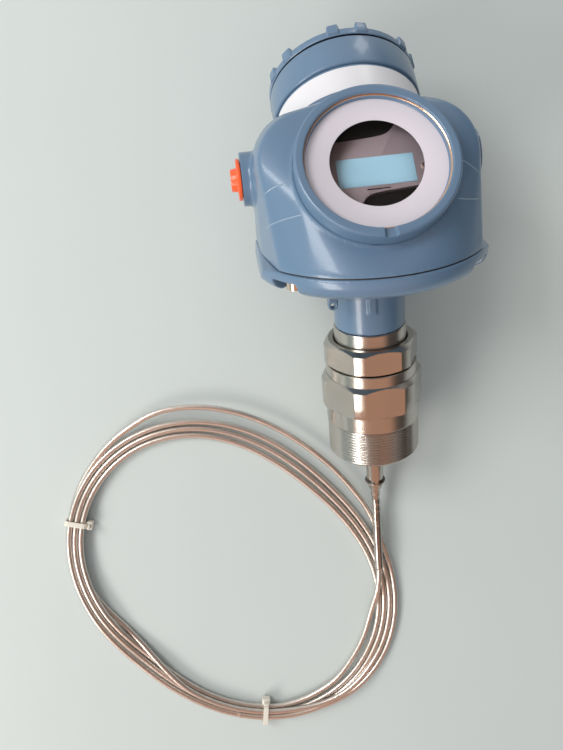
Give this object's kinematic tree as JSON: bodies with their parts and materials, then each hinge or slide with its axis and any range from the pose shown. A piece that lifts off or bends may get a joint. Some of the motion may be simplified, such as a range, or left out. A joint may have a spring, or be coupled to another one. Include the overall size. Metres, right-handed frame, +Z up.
{
  "type": "radar level transmitter",
  "caption": "Guided wave radar level transmitter with twin-compartment head, hexagon process connection and coiled wire rope probe",
  "frame": {"origin": "on the bench under the middle of the transmitter's box, cord pieces left out; the transmitter lies on the lower rim of its thread and on two lugs of the rear cover", "axes": "+Z up from the bench, +Y from the probe towards the head, +X to the right when the display is looked at with the head at the top"},
  "size_m": [0.2921, 0.4592, 0.1474],
  "materials": {
    "steel_turned": "turned stainless steel",
    "steel_dark": "spring steel",
    "steel_bright": "bright stainless screws",
    "seal_white": "white sealing plastic",
    "enamel_blue": "grey-blue enamel on cast aluminium",
    "rubber_black": "black rubber",
    "plug_orange": "orange moulded plastic",
    "card_white": "matt white card",
    "cover_glass": "clear glass",
    "plastic_black": "black moulded plastic",
    "display_grey": "dark bezel plastic",
    "lcd_blue": "pale blue display",
    "plastic_dark": "dark moulded plastic",
    "label_white": "white film label",
    "wire_rope": "stranded stainless wire rope",
    "tie_white": "natural nylon"
  },
  "bodies": {
    "connection": {"process_connection": "steel_turned", "tank_seal": "seal_white", "probe_stub": "steel_turned", "retaining_ring": "steel_dark", "wire_swage": "steel_turned", "probe_wire": "wire_rope", "wire_coil": "wire_rope", "coil_tie_left": "tie_white", "coil_tie_front": "tie_white"},
    "nut": {"union_nut": "steel_turned"},
    "head": {"neck_sleeve": "steel_turned", "base_flange": "enamel_blue", "base_gasket": "rubber_black", "base_screws": "steel_bright", "housing": "enamel_blue", "ground_screw": "steel_bright", "display_module": "display_grey", "lcd_panel": "lcd_blue", "display_screws": "steel_bright", "electronics_module": "plastic_dark", "rear_label": "label_white", "terminal_block": "plastic_black", "terminal_screws": "steel_bright"},
    "front_seal": {"front_o_ring": "rubber_black"},
    "front_lid": {"front_cover": "enamel_blue", "dial_card": "card_white", "front_glass": "cover_glass", "glass_ring": "plastic_black"},
    "rear_seal": {"rear_o_ring": "rubber_black"},
    "rear_lid": {"rear_cover": "enamel_blue"},
    "plug": {"entry_plug": "plug_orange"}
  },
  "joints": [
    {"name": "head_swivel", "type": "hinge", "parent": "connection", "child": "head", "pos_m": [0.0032, -0.03184, 0.05556], "axis": [0, 0.9377, 0.3473], "range_deg": [-180, 180]},
    {"name": "union_nut_turn", "type": "hinge", "parent": "connection", "child": "nut", "pos_m": [0.0032, -0.03934, 0.05278], "axis": [0, 0.9377, 0.3473], "range_deg": [0, 90]},
    {"name": "front_cover_lift", "type": "slide", "parent": "head", "child": "front_seal", "axis": [0, 0.3531, 0.9356], "range_m": [0, 0.0125]},
    {"name": "front_cover_turn", "type": "hinge", "parent": "front_seal", "child": "front_lid", "pos_m": [0.0032, 0.04571, 0.08428], "axis": [0, 0.3531, 0.9356], "range_deg": [0, 2250]},
    {"name": "rear_cover_lift", "type": "slide", "parent": "head", "child": "rear_seal", "axis": [0, 0.8774, -0.4798], "range_m": [0, 0.0125]},
    {"name": "rear_cover_turn", "type": "hinge", "parent": "rear_seal", "child": "rear_lid", "pos_m": [0.0032, 0.04571, 0.08428], "axis": [0, 0.8774, -0.4798], "range_deg": [0, 2250]},
    {"name": "plug_pull", "type": "slide", "parent": "head", "child": "plug", "axis": [-1, 0, 0], "range_m": [0, 0.012]}
  ],
  "couplings": [
    {"joint": "front_cover_lift", "follows": "front_cover_turn", "m_per_rad": 0.00031831},
    {"joint": "rear_cover_lift", "follows": "rear_cover_turn", "m_per_rad": 0.00031831}
  ]
}
